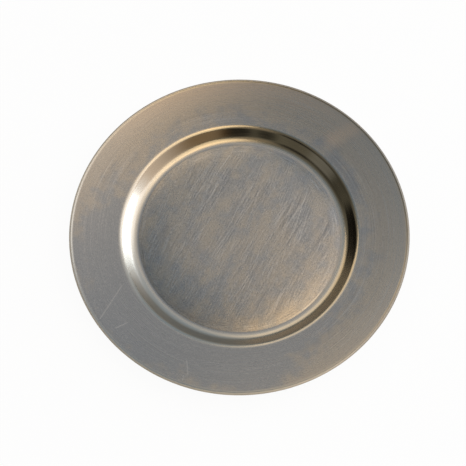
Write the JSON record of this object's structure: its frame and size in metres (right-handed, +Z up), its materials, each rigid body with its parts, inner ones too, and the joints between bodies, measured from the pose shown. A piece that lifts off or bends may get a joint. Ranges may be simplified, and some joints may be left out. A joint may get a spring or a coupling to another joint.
{
  "type": "charger plate",
  "caption": "Round charger plate with a wide, gently rising rim, a shallow well and a rolled edge, in brushed antique metal, to lie under a dinner plate.",
  "frame": {"origin": "on the table, below the centre of the plate", "axes": "+Z up along the axis of the plate, -Y towards the viewer of the picture, +X to the picture's right"},
  "size_m": [0.33, 0.33, 0.0212],
  "materials": {
    "plate_metal": "brass-toned plating, brushed, darkened like old pewter and lacquered",
    "wire_metal": "drawn, zinc coated",
    "foot_rubber": "matte, moulded"
  },
  "bodies": {
    "root": {"pressed_plate": "plate_metal", "edge_wire": "wire_metal", "rubber_feet": "foot_rubber"}
  },
  "joints": []
}
